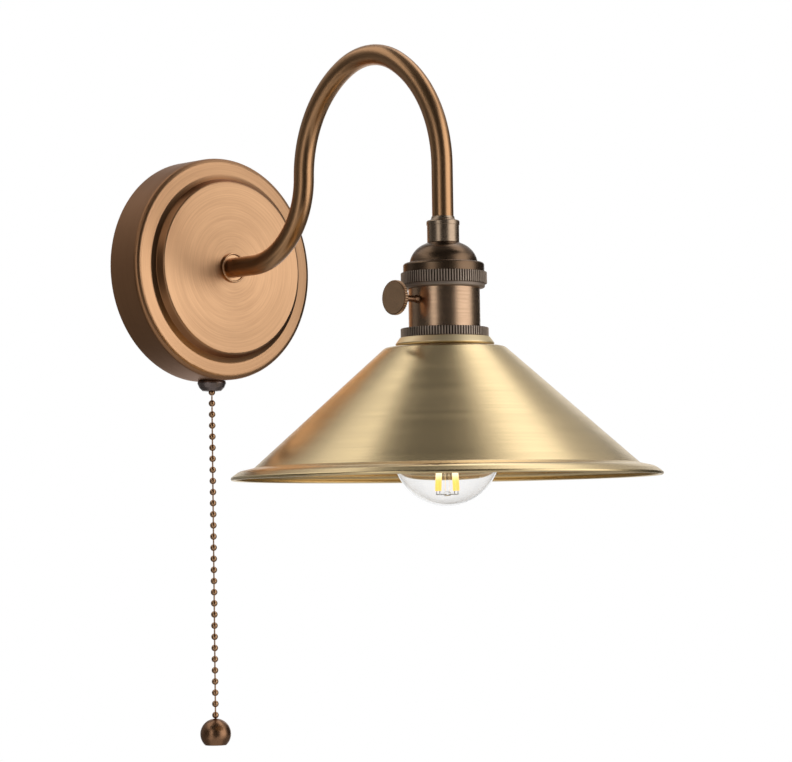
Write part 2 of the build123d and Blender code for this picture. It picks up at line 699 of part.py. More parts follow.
# ---------------------------------------------------------------- turn switch
knob_back = knob_reach - knob_thick
hub_back = knob_back - knob_hub_length
knob = turned([
    (0, knob_back), (knob_radius, knob_back, 0.4), (knob_radius, knob_reach, 0.7), (0, knob_reach),
])
knob = knurled(knob, knob_radius, knob_tooth_depth, knob_teeth, knob_back, knob_reach)
knob += Pos(0, 0, hub_back) * Cylinder(knob_hub_radius, knob_hub_length, align=FLOOR)
parts["switch_knob"] = holder_axis * knob_place * knob
collar_low = barrel_radius + loose
collar_top = collar_low + spindle_collar_length
knob_collar_low = hub_back - spindle_collar_length
spindle_wide = spindle_radius + spindle_collar
spindle = turned([
    (0, spindle_inner_end), (spindle_radius, spindle_inner_end), (spindle_radius, collar_low),
    (spindle_wide, collar_low), (spindle_wide, collar_top, 0.4), (spindle_waist, collar_top + spindle_taper, 1.5),
    (spindle_waist, knob_collar_low - spindle_taper, 1.5), (spindle_wide, knob_collar_low, 0.3),
    (spindle_wide, hub_back), (0, hub_back),
])
parts["knob_spindle"] = holder_axis * knob_place * spindle
cam_low = spindle_inner_end + cam_inset
cam = pipe(cam_radius, spindle_radius + slip, cam_low, cam_low + cam_thick)
cam -= Pos(cam_flat + cam_radius, 0, cam_low + cam_thick / 2) * Box(*[2 * cam_radius] * 3)
parts["switch_cam"] = holder_axis * knob_place * cam

# ---------------------------------------------------------------- shade
hole_radius = barrel_radius + loose
shade_collar = turned([
    (hole_radius, shade_top), (shade_collar_top_radius, shade_top, 0.9),
    (shade_collar_radius, shade_top - shade_collar_belly_drop, 0.7),
    (shade_collar_radius - shade_collar_bead_in, shade_top - shade_collar_bead_drop, 0.3),
    (shade_collar_foot_radius, plate_top), (hole_radius, plate_top),
])
parts["shade_collar"] = holder_axis * shade_collar
cone_foot = plate_top - cone_height
rim_top = cone_foot - rim_drop
shade_path = [
    (hole_radius, plate_top), (shade_collar_foot_radius, plate_top),
    (shoulder_radius, plate_top - shoulder_drop, shoulder_round),
    (cone_radius, cone_foot, 1.2), (lip_bend_radius, cone_foot - lip_bend_drop, 9.0),
    (rim_radius, rim_top, 1.0),
]
inner_path = moved_right(shade_path, shade_sheet)
edge_start, edge_end = shade_path[-2], shade_path[-1]
inner_edge = tuple(
    inner_path[-1][axis] + rim_curl_share * (edge_start[axis] - edge_end[axis]) for axis in (0, 1))
rolled_edge = [
    (rim_radius - rim_bead_in, rim_top - rim_bead, 0.7),
    (rim_radius - rim_curl_in, rim_top - rim_bead + rim_curl_rise, 0.6), inner_edge,
]
parts["shade"] = holder_axis * turned(shade_path + rolled_edge + inner_path[-2::-1])

# ---------------------------------------------------------------- lamp
lamp_low = contact_top - lamp_length
lamp_centre = lamp_low + lamp_radius
cap_low = contact_top - lamp_cap_length
half_taper = tan(radians(lamp_taper_angle / 2))
belly_corner = lamp_centre + lamp_radius * half_taper
neck_corner = belly_corner + (lamp_radius - lamp_neck_radius) / tan(radians(lamp_taper_angle))
glass_path = [
    (lamp_neck_radius, cap_low + lamp_seat), (lamp_neck_radius, neck_corner, lamp_taper_round),
    (lamp_radius, belly_corner, lamp_radius), (lamp_radius, lamp_low, lamp_radius), (0, lamp_low),
]
parts["lamp_glass"] = holder_axis * shell(glass_path, lamp_glass)

cap_corners = [(insulator_radius + slip, shell_top), (lamp_cap_radius - cap_thread_depth, shell_top, 0.8)]
for turn in range(cap_thread_turns):
    crest = shell_top - cap_thread_top - turn * cap_thread_pitch
    cap_corners.append((lamp_cap_radius, crest - cap_thread_pitch / 4, 0.9))
    cap_corners.append((lamp_cap_radius - cap_thread_depth, crest - 3 * cap_thread_pitch / 4, 0.9))
cap_foot_radius = lamp_cap_radius + cap_foot_bead
cap_corners += [(cap_foot_radius, cap_low + cap_foot_height, 0.5), (cap_foot_radius, cap_low)]
lamp_cap = shell(cap_corners, lamp_cap_sheet)
glass_seat = Pos(0, 0, cap_low) * Cylinder(lamp_neck_radius + slip, lamp_seat + slip, align=FLOOR)
parts["lamp_cap"] = holder_axis * (lamp_cap - glass_seat)
insulator_low = shell_top - insulator_depth
parts["lamp_insulator"] = holder_axis * turned([
    (0, insulator_low), (insulator_radius, insulator_low), (insulator_radius, shell_top),
    (contact_radius, contact_top - contact_height), (0, contact_top - contact_height),
])
parts["lamp_contact"] = holder_axis * turned([
    (0, contact_top - contact_height), (contact_radius, contact_top - contact_height),
    (contact_radius, contact_top, 0.7), (0, contact_top),
])

button_z = lamp_low + button_above_foot
stem_top = cap_low + stem_seat
stem_corners = [(0, stem_top)]
stem_corners += [(radius, stem_top - drop, rounding) for radius, drop, rounding in stem_flare]
stem_corners += [
    (stem_radius, button_z + button_half + button_neck, 0.3), (button_radius, button_z + button_half, 0.5),
    (button_radius, button_z - button_half, 0.8), (0, button_z - button_half),
]
parts["lamp_stem"] = holder_axis * turned(stem_corners)
filament_low_z = lamp_low + filament_above_foot
filament_top_z = filament_low_z + filament_length
filaments, lamp_wires = [], []
for index in range(filament_count):
    angle = radians(filament_turn + 360 * index / filament_count)
    foot = (filament_low_circle * cos(angle), filament_low_circle * sin(angle), filament_low_z)
    head = (filament_top_circle * cos(angle), filament_top_circle * sin(angle), filament_top_z)
    filaments.append(holder_axis * rod(foot, head, filament_radius))
    knee = (foot[0], foot[1], button_z)
    hub = (button_radius * cos(angle) / 2, button_radius * sin(angle) / 2, button_z)
    lower_wire = rod(foot, knee, lamp_wire_radius) + rod(knee, hub, lamp_wire_radius)
    lower_wire += Pos(*knee) * Sphere(lamp_wire_radius)
    upper_hub = (lamp_wire_hub_radius * cos(angle), lamp_wire_hub_radius * sin(angle),
                 filament_top_z + lamp_wire_hub_rise)
    upper_wire = rod(head, upper_hub, lamp_wire_radius)
    lamp_wires += [holder_axis * lower_wire, holder_axis * upper_wire]
parts["lamp_filaments"] = Compound(children=filaments)
parts["lamp_wires"] = Compound(children=lamp_wires)

# ---------------------------------------------------------------- wiring
block_foot = block_z - block_height / 2
flex_depth = tube_tail_depth - flex_bend_radius
flex_down = Line((flex_depth, block_foot), (flex_depth, flex_bend_radius))
flex_turn = JernArc(flex_down @ 1, flex_down % 1, flex_bend_radius, 90)
flex_drop = arch_end.Y - core_top
flex_path = as_path((flex_down, flex_turn) + arm_line(tube_tail_depth, flex_drop))
parts["lamp_flex"] = swept(Circle(flex_radius), flex_path)

wire_runs = []
for side, way in ((-1, ways[0]), (1, ways[-1])):
    lane = side * switch_wire_lane
    entry = way + side * switch_wire_shift
    route = FilletPolyline(
        (lane, -switch_depth, switch_top), (lane, -switch_depth, switch_top + switch_wire_rise),
        (entry, -switch_depth, block_foot - switch_wire_entry), (entry, -switch_depth, block_foot),
        radius=switch_wire_bend)
    wire_runs.append(swept(Circle(switch_wire_radius), Wire(route.edges())))
parts["switch_wires"] = Compound(children=wire_runs)

# ---------------------------------------------------------------- files
os.makedirs("parts", exist_ok=True)
for name, shape in parts.items():
    export_step(shape, f"parts/{name}.step")
print(f"reach {reach:.2f}, neck top {neck_top:.2f}, shade top {shade_top:.2f}, lamp foot {lamp_low:.2f}")
print(f"ball foot {ball_z - ball_flat:.2f}, flex length {flex_path.length:.0f}, pieces {len(parts)}")
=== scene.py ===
from math import cos, radians, sin

import bmesh
import bpy
from mathutils import Matrix, Vector


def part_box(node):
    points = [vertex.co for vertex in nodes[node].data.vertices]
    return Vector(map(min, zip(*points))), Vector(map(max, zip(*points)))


# A wall light: a stepped copper backplate, a swan-neck arm, a lampholder with a turn switch, a brass cone
# shade and a bead pull chain. Metres, +Z up, the wall is the plane Y = 0. Every shape comes from the frame.
# This script gives each piece its finish, and adds the camera and the studio.

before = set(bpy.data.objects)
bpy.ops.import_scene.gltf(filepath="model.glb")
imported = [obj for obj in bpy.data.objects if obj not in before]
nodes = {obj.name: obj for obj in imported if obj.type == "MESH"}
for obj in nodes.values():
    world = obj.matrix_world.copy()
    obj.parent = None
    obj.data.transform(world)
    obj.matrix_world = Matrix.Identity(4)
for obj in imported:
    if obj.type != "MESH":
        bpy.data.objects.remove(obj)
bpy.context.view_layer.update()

MM = 0.001


# ---------------------------------------------------------------- places, from the frame
def middle(node):
    """Centre of a node's box."""
    low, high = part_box(node)
    return (Vector(low) + Vector(high)) / 2


HOLDER_AXIS = (0, middle("holder_barrel").y, 0)
KNOB_CENTRE = (0, middle("switch_knob").y, middle("switch_knob").z)
COVER_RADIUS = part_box("backplate_cover")[1][0]
CLAMP_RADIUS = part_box("clamp_ring")[1][0]
SHADE_RING_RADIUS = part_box("upper_shade_ring")[1][0]
KNOB_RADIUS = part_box("switch_knob")[1][2] - KNOB_CENTRE[2]
FILAMENT_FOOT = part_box("lamp_filaments")[0][2]


# ---------------------------------------------------------------- material helpers
def feed(tree, socket, value):
    """Gives a socket its value: a number, a colour, a vector or another node's output."""
    if isinstance(value, bpy.types.NodeSocket):
        tree.links.new(value, socket)
    elif socket.type == "RGBA":
        socket.default_value = (*value, 1.0)
    else:
        socket.default_value = value


def group(name, inputs, outputs):
    """Empty shared node group with named sockets. Returns its tree and its two end nodes."""
    tree = bpy.data.node_groups.new(name, "ShaderNodeTree")
    for label, kind in inputs:
        tree.interface.new_socket(name=label, in_out="INPUT", socket_type=kind)
    for label, kind in outputs:
        tree.interface.new_socket(name=label, in_out="OUTPUT", socket_type=kind)
    return tree, tree.nodes.new("NodeGroupInput").outputs, tree.nodes.new("NodeGroupOutput").inputs


def maths(tree, operation, *values):
    """Math node. Returns its output."""
    node = tree.nodes.new("ShaderNodeMath")
    node.operation = operation
    for socket, value in zip(node.inputs, values):
        feed(tree, socket, value)
    return node.outputs[0]


def times(tree, first, second):
    return maths(tree, "MULTIPLY", first, second)


def ramp(tree, value, low, high, to_low=0.0, to_high=1.0, smooth=True):
    """Map Range from one span of numbers to another. Returns its output."""
    node = tree.nodes.new("ShaderNodeMapRange")
    node.interpolation_type = "SMOOTHSTEP" if smooth else "LINEAR"
    labels = ("Value", "From Min", "From Max", "To Min", "To Max")
    for label, number in zip(labels, (value, low, high, to_low, to_high)):
        feed(tree, node.inputs[label], number)
    return node.outputs["Result"]


# The Mix node keeps a set of sockets for each kind of data. These are the colour set's.
MIX_FACTOR, MIX_FIRST, MIX_SECOND, MIX_RESULT = 0, 6, 7, 2


def blend_colour(tree, factor, first, second):
    """Mix of two colours. Returns its output."""
    node = tree.nodes.new("ShaderNodeMix")
    node.data_type = "RGBA"
    for index, value in ((MIX_FACTOR, factor), (MIX_FIRST, first), (MIX_SECOND, second)):
        feed(tree, node.inputs[index], value)
    return node.outputs[MIX_RESULT]


def noise(tree, vector, scale=1.0, detail=2.0, roughness=0.5):
    """Noise Texture. Returns its value."""
    node = tree.nodes.new("ShaderNodeTexNoise")
    labels = ("Vector", "Scale", "Detail", "Roughness")
    for label, value in zip(labels, (vector, scale, detail, roughness)):
        feed(tree, node.inputs[label], value)
    return node.outputs["Fac"]


# ---------------------------------------------------------------- shared effects
BAND_STRETCH = (0.12, 0.5, 0.5)     # the bands' frequency as a share of the lines', across and round


def make_turning_lines():
    """Fine lines from turning and brushing round the vector's Z axis, and the broad bands they lie in."""
    tree, given, out = group(
        "turning_lines",
        [("Vector", "NodeSocketVector"), ("Density", "NodeSocketFloat"), ("Sweep", "NodeSocketFloat")],
        [("Lines", "NodeSocketFloat"), ("Bands", "NodeSocketFloat"), ("Radius", "NodeSocketFloat")],
    )
    split = tree.nodes.new("ShaderNodeSeparateXYZ")
    feed(tree, split.inputs[0], given["Vector"])
    x, y, z = split.outputs
    radius = maths(tree, "SQRT", maths(tree, "ADD", times(tree, x, x), times(tree, y, y)))
    bearing = maths(tree, "ARCTAN2", y, x)

    # Radius less height keeps changing down a flat face, a side wall and the shade's slope alike.
    across = times(tree, maths(tree, "SUBTRACT", radius, z), given["Density"])
    place = tree.nodes.new("ShaderNodeCombineXYZ")
    feed(tree, place.inputs["X"], across)
    feed(tree, place.inputs["Y"], times(tree, maths(tree, "COSINE", bearing), given["Sweep"]))
    feed(tree, place.inputs["Z"], times(tree, maths(tree, "SINE", bearing), given["Sweep"]))
    stretched = tree.nodes.new("ShaderNodeVectorMath")
    stretched.operation = "MULTIPLY"
    feed(tree, stretched.inputs[0], place.outputs[0])
    feed(tree, stretched.inputs[1], BAND_STRETCH)

    feed(tree, out["Lines"], noise(tree, place.outputs[0], detail=3.0, roughness=0.7))
    feed(tree, out["Bands"], noise(tree, stretched.outputs[0]))
    feed(tree, out["Radius"], radius)
    return tree


def make_patina():
    """Slow uneven darkening, as handled and aged metal has."""
    tree, given, out = group(
        "patina",
        [("Vector", "NodeSocketVector"), ("Scale", "NodeSocketFloat")],
        [("Mask", "NodeSocketFloat")],
    )
    clouds = noise(tree, given["Vector"], given["Scale"], detail=4.0, roughness=0.55)
    feed(tree, out["Mask"], ramp(tree, clouds, 0.35, 0.75))
    return tree


TURNING_LINES = make_turning_lines()
PATINA = make_patina()
METAL_PATINA, GRAIN_PATINA, GLASS_PATINA = 18.0, 40.0, 60.0     # noise scales of the patina


# ---------------------------------------------------------------- finishes
class Finish:
    """A material with its Principled shader and the few nodes that every finish starts from."""

    def __init__(self, name, colour, roughness, metallic=0.0, **settings):
        self.material = bpy.data.materials.new(name)
        self.material.use_nodes = True
        self.tree = self.material.node_tree
        self.shader = self.tree.nodes["Principled BSDF"]
        settings.update(Base_Color=colour, Roughness=roughness, Metallic=metallic)
        for label, value in settings.items():
            feed(self.tree, self.shader.inputs[label.replace("_", " ")], value)
        self.coordinates = self.tree.nodes.new("ShaderNodeTexCoord").outputs["Object"]

    def placed(self, centre=(0, 0, 0), turn=(0, 0, 0), scale=(1, 1, 1)):
        """Object coordinates moved so that a piece's own centre is the origin, then turned and scaled."""
        shift = self.tree.nodes.new("ShaderNodeVectorMath")
        shift.operation = "SUBTRACT"
        feed(self.tree, shift.inputs[0], self.coordinates)
        feed(self.tree, shift.inputs[1], centre)
        mapping = self.tree.nodes.new("ShaderNodeMapping")
        for label, value in (("Vector", shift.outputs[0]), ("Rotation", turn), ("Scale", scale)):
            feed(self.tree, mapping.inputs[label], value)
        return mapping.outputs[0]

    def use(self, shared, **values):
        """Places a shared group with its own values. Returns its outputs."""
        node = self.tree.nodes.new("ShaderNodeGroup")
        node.node_tree = shared
        for label, value in values.items():
            feed(self.tree, node.inputs[label], value)
        return node.outputs

    def colour(self, value):
        feed(self.tree, self.shader.inputs["Base Color"], value)

    def roughness(self, value):
        feed(self.tree, self.shader.inputs["Roughness"], value)

    def bump(self, height, strength, distance):
        node = self.tree.nodes.new("ShaderNodeBump")
        for label, value in (("Strength", strength), ("Distance", distance), ("Height", height)):
            feed(self.tree, node.inputs[label], value)
        feed(self.tree, self.shader.inputs["Normal"], node.outputs["Normal"])

    def aged(self, colour, dark, share):
        """Colour with a share of patina over it."""
        mask = self.use(PATINA, Vector=self.coordinates, Scale=METAL_PATINA)["Mask"]
        return blend_colour(self.tree, times(self.tree, mask, share), colour, dark)

    def brushed_round(self, axis, amount):
        """Stretches highlights across grooves that run round an axis."""
        tangent = self.tree.nodes.new("ShaderNodeTangent")
        tangent.direction_type = "RADIAL"
        tangent.axis = axis
        feed(self.tree, self.shader.inputs["Tangent"], tangent.outputs[0])
        self.shader.inputs["Anisotropic"].default_value = amount


# Which way a turned piece's axis points: the turn that brings it upright, and the axis itself.
UPRIGHT = ((0, 0, 0), "Z")
TO_WALL = ((radians(90), 0, 0), "Y")
TO_SIDE = ((0, radians(90), 0), "X")

METAL = 1.0
LINE_DEPTH, GRAIN_DEPTH = 0.03 * MM, 0.05 * MM
LINE_LOW, LINE_HIGH = 0.3, 0.7          # where the noise of lines and grains mostly lies
BAND_LOW, BAND_HIGH = 0.25, 0.75


def turned_metal(name, colour, dark, roughness, centre=(0, 0, 0), lathe=UPRIGHT, brushed=0.7,
                 density=1300.0, line_share=0.16, patina_share=0.08, relief=0.03, sweep=2.0):
    """Metal brushed on a lathe, with fine lines round its axis and a little patina.

    Density is in noise units a metre. A low sweep draws each line further round.
    """
    turn, axis = lathe
    finish = Finish(name, colour, roughness, METAL)
    tree = finish.tree
    place = finish.placed(centre, turn)
    finish.turning = finish.use(TURNING_LINES, Vector=place, Density=density, Sweep=sweep)
    line_mask = ramp(tree, finish.turning["Lines"], LINE_LOW, LINE_HIGH, 0.0, line_share, smooth=False)
    finish.lined = blend_colour(tree, line_mask, finish.aged(colour, dark, patina_share), dark)
    bands = finish.turning["Bands"]
    finish.gloss = ramp(tree, bands, BAND_LOW, BAND_HIGH, roughness * 0.92, roughness * 1.08)
    finish.colour(finish.lined)
    finish.roughness(finish.gloss)
    finish.bump(finish.turning["Lines"], relief, LINE_DEPTH)
    finish.brushed_round(axis, brushed)
    return finish


def knurled_metal(name, colour, dark, roughness, outer, depth, centre, lathe=UPRIGHT, wear=1.25):
    """Turned metal with dark grooves between its teeth, whose tops wear lighter or, below 1, darker."""
    finish = turned_metal(name, colour, dark, roughness, centre, lathe, brushed=0.3)
    tree, radius = finish.tree, finish.turning["Radius"]
    tooth_tops = ramp(tree, radius, outer - depth, outer - 0.1 * depth)
    toothed_part = ramp(tree, radius, outer - 1.6 * depth, outer - depth)
    toothed = blend_colour(tree, tooth_tops, dark, tuple(wear * part for part in colour))
    finish.colour(blend_colour(tree, toothed_part, finish.lined, toothed))
    return finish


TUBE_LINES = (1500.0, 9.0, 9.0)         # noise units a metre, across the tube's plane and in it
TUBE_BANDS = (420.0, 5.0, 5.0)


def drawn_metal(name, colour, dark, roughness):
    """Drawn tube: fine lines that run along it, at steady distances from the plane that it bends in."""
    finish = Finish(name, colour, roughness, METAL)
    tree = finish.tree
    lines = noise(tree, finish.placed(scale=TUBE_LINES), detail=3.0, roughness=0.65)
    bands = noise(tree, finish.placed(scale=TUBE_BANDS))
    aged = finish.aged(colour, dark, 0.12)
    streaked = blend_colour(tree, ramp(tree, bands, 0.35, 0.7, 0.0, 0.16), aged, dark)
    finish.colour(blend_colour(tree, ramp(tree, lines, 0.35, 0.7, 0.0, 0.24), streaked, dark))
    finish.roughness(ramp(tree, bands, LINE_LOW, LINE_HIGH, roughness * 0.85, roughness * 1.15))
    finish.bump(lines, 0.05, LINE_DEPTH)
    return finish


def plain(name, colour, roughness, metallic=0.0, grain=900.0, shade=0.75, relief=0.1):
    """Simple finish with a fine grain in its colour, gloss and surface."""
    finish = Finish(name, colour, roughness, metallic)
    tree = finish.tree
    grains = noise(tree, finish.coordinates, grain)
    mask = times(tree, finish.use(PATINA, Vector=finish.coordinates, Scale=GRAIN_PATINA)["Mask"], grains)
    finish.colour(blend_colour(tree, mask, colour, tuple(part * shade for part in colour)))
    finish.roughness(ramp(tree, grains, LINE_LOW, LINE_HIGH, roughness * 0.85, roughness * 1.15))
    finish.bump(grains, relief, GRAIN_DEPTH)
    return finish


COPPER, COPPER_DARK = (0.64, 0.378, 0.208), (0.22, 0.105, 0.048)
# the backplate's colour for patina and painted shade in its step and towards its outer edge
COPPER_PATINA_AND_SHADE = (0.28, 0.115, 0.042)
BRONZE, BRONZE_DARK = (0.53, 0.355, 0.23), (0.16, 0.085, 0.045)
RING_BRONZE, RING_DARK = (0.36, 0.29, 0.235), (0.045, 0.028, 0.018)
BRASS, BRASS_DARK = (0.80, 0.615, 0.345), (0.46, 0.34, 0.16)
RING_KNURL, KNOB_KNURL = 0.55 * MM, 0.5 * MM


def make_plate_copper():
    """The backplate's brushed copper, with painted shade in its step, and darker towards its outer edge and
    side wall from patina and painted shade.
    """
    finish = turned_metal("plate_copper", COPPER, COPPER_DARK, 0.30, lathe=TO_WALL, brushed=0.8,
                          density=950.0, line_share=0.28, sweep=0.9)
    tree, radius = finish.tree, finish.turning["Radius"]

    def from_edge(start, end, *shares):
        """Ramp between two distances in from the cover's outer edge."""
        return ramp(tree, radius, COVER_RADIUS - start * MM, COVER_RADIUS - end * MM, *shares)

    # Painted shade: a darker band in the step round the raised disc.
    step = times(tree, from_edge(16.1, 14.5), from_edge(13.0, 8.5, 1.0, 0.0))
    # Darker towards the outer edge and side wall: patina together with painted shade.
    outer_ring = from_edge(12.5, 8.5, 0.0, 0.12)
    edge = from_edge(4.0, 0.1)
    rim = maths(tree, "MAXIMUM", times(tree, edge, 0.68), outer_ring)
    # The step's painted shade and the rim's patina and painted shade, mixed into the colour.
    patina_and_shade = maths(tree, "MAXIMUM", times(tree, step, 0.85), rim)
    finish.colour(blend_colour(tree, patina_and_shade, finish.lined, COPPER_PATINA_AND_SHADE))
    finish.roughness(maths(tree, "ADD", finish.gloss, times(tree, edge, 0.14)))
    return finish


def make_clear_glass():
    """Clear glass with the faintest smears on it."""
    finish = Finish("clear_glass", (1.0, 1.0, 1.0), 0.0, Transmission_Weight=1.0, IOR=1.45)
    smears = finish.use(PATINA, Vector=finish.coordinates, Scale=GLASS_PATINA)["Mask"]
    finish.roughness(ramp(finish.tree, smears, 0.0, 1.0, 0.0, 0.002, smooth=False))
    return finish


FILAMENT_AMBER, FILAMENT_WHITE = (1.0, 0.50, 0.05), (1.0, 0.92, 0.70)
AMBER_TO, WHITE_FROM = 5.8 * MM, 11.3 * MM          # up from the filaments' low ends
FILAMENT_GRAIN = 2.0 * MM                           # how far the grain shifts the change of colour


def make_lit_filament():
    """Glowing sticks, amber at their low ends and white above."""
    finish = Finish("lit_filament", (1.0, 0.72, 0.25), 0.5, Emission_Strength=1.2)
    tree = finish.tree
    split = tree.nodes.new("ShaderNodeSeparateXYZ")
    feed(tree, split.inputs[0], finish.coordinates)
    grain = times(tree, noise(tree, finish.coordinates, 1500.0, detail=1.0), FILAMENT_GRAIN)
    height = maths(tree, "ADD", split.outputs["Z"], grain)
    white = ramp(tree, height, FILAMENT_FOOT + AMBER_TO, FILAMENT_FOOT + WHITE_FROM)
    glow = blend_colour(tree, white, FILAMENT_AMBER, FILAMENT_WHITE)
    feed(tree, finish.shader.inputs["Emission Color"], glow)
    return finish


plate_copper = make_plate_copper()
root_bronze = turned_metal("root_bronze", COPPER, COPPER_DARK, 0.25, lathe=TO_WALL, brushed=0.5)
tube_copper = drawn_metal("tube_copper", (0.53, 0.295, 0.145), BRONZE_DARK, 0.33)

barrel_bronze = turned_metal("barrel_bronze", BRONZE, BRONZE_DARK, 0.22, HOLDER_AXIS, density=800.0,
                             line_share=0.30, sweep=1.0)
neck_bronze = turned_metal("neck_bronze", (0.43, 0.32, 0.225), BRONZE_DARK, 0.26, HOLDER_AXIS)
dome_bronze = turned_metal("dome_bronze", (0.175, 0.115, 0.072), BRONZE_DARK, 0.26, HOLDER_AXIS,
                           density=800.0, line_share=0.30, relief=0.06, sweep=1.0)
clamp_bronze = knurled_metal("clamp_bronze", RING_BRONZE, RING_DARK, 0.60, CLAMP_RADIUS, RING_KNURL,
                             HOLDER_AXIS)
ring_bronze = knurled_metal("ring_bronze", RING_BRONZE, RING_DARK, 0.55, SHADE_RING_RADIUS, RING_KNURL,
                            HOLDER_AXIS)
knob_bronze = knurled_metal("knob_bronze", (0.82, 0.52, 0.31), BRONZE_DARK, 0.34, KNOB_RADIUS, KNOB_KNURL,
                            KNOB_CENTRE, TO_SIDE, wear=0.45)

shade_brass = turned_metal("shade_brass", BRASS, BRASS_DARK, 0.23, HOLDER_AXIS, brushed=0.75,
                           density=1100.0, line_share=0.18, patina_share=0.04, relief=0.02, sweep=1.0)
collar_brass = turned_metal("collar_brass", (0.93, 0.75, 0.46), BRASS_DARK, 0.40, HOLDER_AXIS,
                            line_share=0.08, patina_share=0.04)

bead_bronze = plain("bead_bronze", (0.46, 0.27, 0.15), 0.26, METAL)
ball_bronze = plain("ball_bronze", (0.29, 0.155, 0.085), 0.32, METAL, grain=3000.0, shade=0.9, relief=0.02)
gunmetal = plain("gunmetal", (0.21, 0.165, 0.15), 0.34, METAL)
screw_bronze = plain("screw_bronze", (0.25, 0.14, 0.08), 0.3, METAL)
zinc_steel = plain("zinc_steel", (0.55, 0.56, 0.57), 0.35, METAL)
yellow_brass = plain("yellow_brass", (0.72, 0.52, 0.22), 0.3, METAL)
contact_metal = plain("contact_metal", (0.78, 0.62, 0.36), 0.28, METAL)
lamp_aluminium = plain("lamp_aluminium", (0.82, 0.83, 0.84), 0.3, METAL)

black_insulator = plain("black_insulator", (0.02, 0.02, 0.022), 0.4)
white_insulator = plain("white_insulator", (0.78, 0.77, 0.73), 0.35, shade=0.9)
liner_board = plain("liner_board", (0.34, 0.27, 0.19), 0.8, grain=1500.0)
flex_sheath = plain("flex_sheath", (0.74, 0.73, 0.70), 0.5, shade=0.9)
wire_sheath = plain("wire_sheath", (0.20, 0.08, 0.03), 0.45)

clear_glass = make_clear_glass()
lit_filament = make_lit_filament()

NODE_FINISH = {
    # backplate
    "wall_plate": zinc_steel, "cover_brackets": zinc_steel, "backplate_cover": plate_copper,
    "cover_screws": screw_bronze, "terminal_block": white_insulator, "terminal_screws": zinc_steel,
    "earth_washer": yellow_brass, "earth_screw": yellow_brass,
    # arm
    "arm_tube": tube_copper, "root_collar": root_bronze, "arm_washer": zinc_steel, "arm_nut": zinc_steel,
    # pull switch and its chain
    "pull_switch_body": black_insulator, "pull_switch_bush": yellow_brass, "pull_switch_nut": zinc_steel,
    "pull_switch_bell": gunmetal, "switch_pull_rod": bead_bronze, "switch_spring": zinc_steel,
    "chain_second_bead": bead_bronze, "pull_chain": bead_bronze, "pull_ball": ball_bronze,
    # lampholder
    "neck_bush": neck_bronze, "neck_grub_screw": zinc_steel, "neck_nipple": yellow_brass,
    "neck_nut": zinc_steel, "holder_cap": dome_bronze, "clamp_ring": clamp_bronze,
    "holder_barrel": barrel_bronze, "upper_shade_ring": ring_bronze, "lower_shade_ring": ring_bronze,
    "insulating_liner": liner_board, "socket_core": black_insulator, "screw_shell": contact_metal,
    "centre_contact": contact_metal, "holder_terminal_screws": yellow_brass, "switch_knob": knob_bronze,
    "knob_spindle": screw_bronze, "switch_cam": white_insulator,
    # shade
    "shade_collar": collar_brass, "shade": shade_brass,
    # lamp
    "lamp_glass": clear_glass, "lamp_cap": lamp_aluminium, "lamp_insulator": black_insulator,
    "lamp_contact": contact_metal, "lamp_stem": clear_glass, "lamp_filaments": lit_filament,
    "lamp_wires": zinc_steel,
    # wiring
    "lamp_flex": flex_sheath, "switch_wires": wire_sheath,
}
for node_name, node_finish in NODE_FINISH.items():
    slots = nodes[node_name].data.materials
    slots.clear()
    slots.append(node_finish.material)


# ---------------------------------------------------------------- camera
CAMERA_TARGET = Vector((0, -0.17794, -0.07615))
CAMERA_AZIMUTH, CAMERA_PITCH, CAMERA_ROLL = radians(42.3), radians(3.25), radians(-0.86)
CAMERA_DISTANCE = 1.6
CAMERA_REACH = (0.05, 50.0)
FOCAL_PIXELS, PICTURE_WIDTH, SENSOR_WIDTH = 2826.85, 792, 36.0

FLAT_FORWARD = Vector((sin(CAMERA_AZIMUTH), cos(CAMERA_AZIMUTH), 0))
FORWARD = cos(CAMERA_PITCH) * FLAT_FORWARD + Vector((0, 0, sin(CAMERA_PITCH)))
RIGHT = Vector((cos(CAMERA_AZIMUTH), -sin(CAMERA_AZIMUTH), 0))


def make_camera():
    """Camera of the photograph, rolled a little about its line of sight."""
    lens = bpy.data.cameras.new("camera")
    lens.sensor_width = SENSOR_WIDTH
    lens.lens = FOCAL_PIXELS * SENSOR_WIDTH / PICTURE_WIDTH
    lens.clip_start, lens.clip_end = CAMERA_REACH
    camera = bpy.data.objects.new("camera", lens)
    bpy.context.scene.collection.objects.link(camera)
    bpy.context.scene.camera = camera
    upright = RIGHT.cross(FORWARD)
    across = cos(CAMERA_ROLL) * RIGHT + sin(CAMERA_ROLL) * upright
    above = cos(CAMERA_ROLL) * upright - sin(CAMERA_ROLL) * RIGHT
    facing = Matrix((across, above, -FORWARD)).transposed().to_4x4()
    camera.matrix_world = Matrix.Translation(CAMERA_TARGET - CAMERA_DISTANCE * FORWARD) @ facing


# ---------------------------------------------------------------- studio
STUDIO_CENTRE = Vector((0, -0.18, -0.05))
FLOOR_CENTRE, FLOOR_SIDE = (0, -0.2, -1.6), 4.0
LAMP_DISTANCE, CARD_DISTANCE = 1.6, 2.0
DIFFUSE_WORLD = 0.5     # the white surroundings' light on matt surfaces, as a share of what is seen of them


def facing_centre(turn, rise, distance):
    """Place that looks at the light: turned from the camera towards its right, and raised above level."""
    sideways = -cos(radians(turn)) * FLAT_FORWARD + sin(radians(turn)) * RIGHT
    direction = cos(radians(rise)) * sideways + Vector((0, 0, sin(radians(rise))))
    facing = (-direction).to_track_quat("-Z", "Y").to_matrix().to_4x4()
    return Matrix.Translation(STUDIO_CENTRE + distance * direction) @ facing


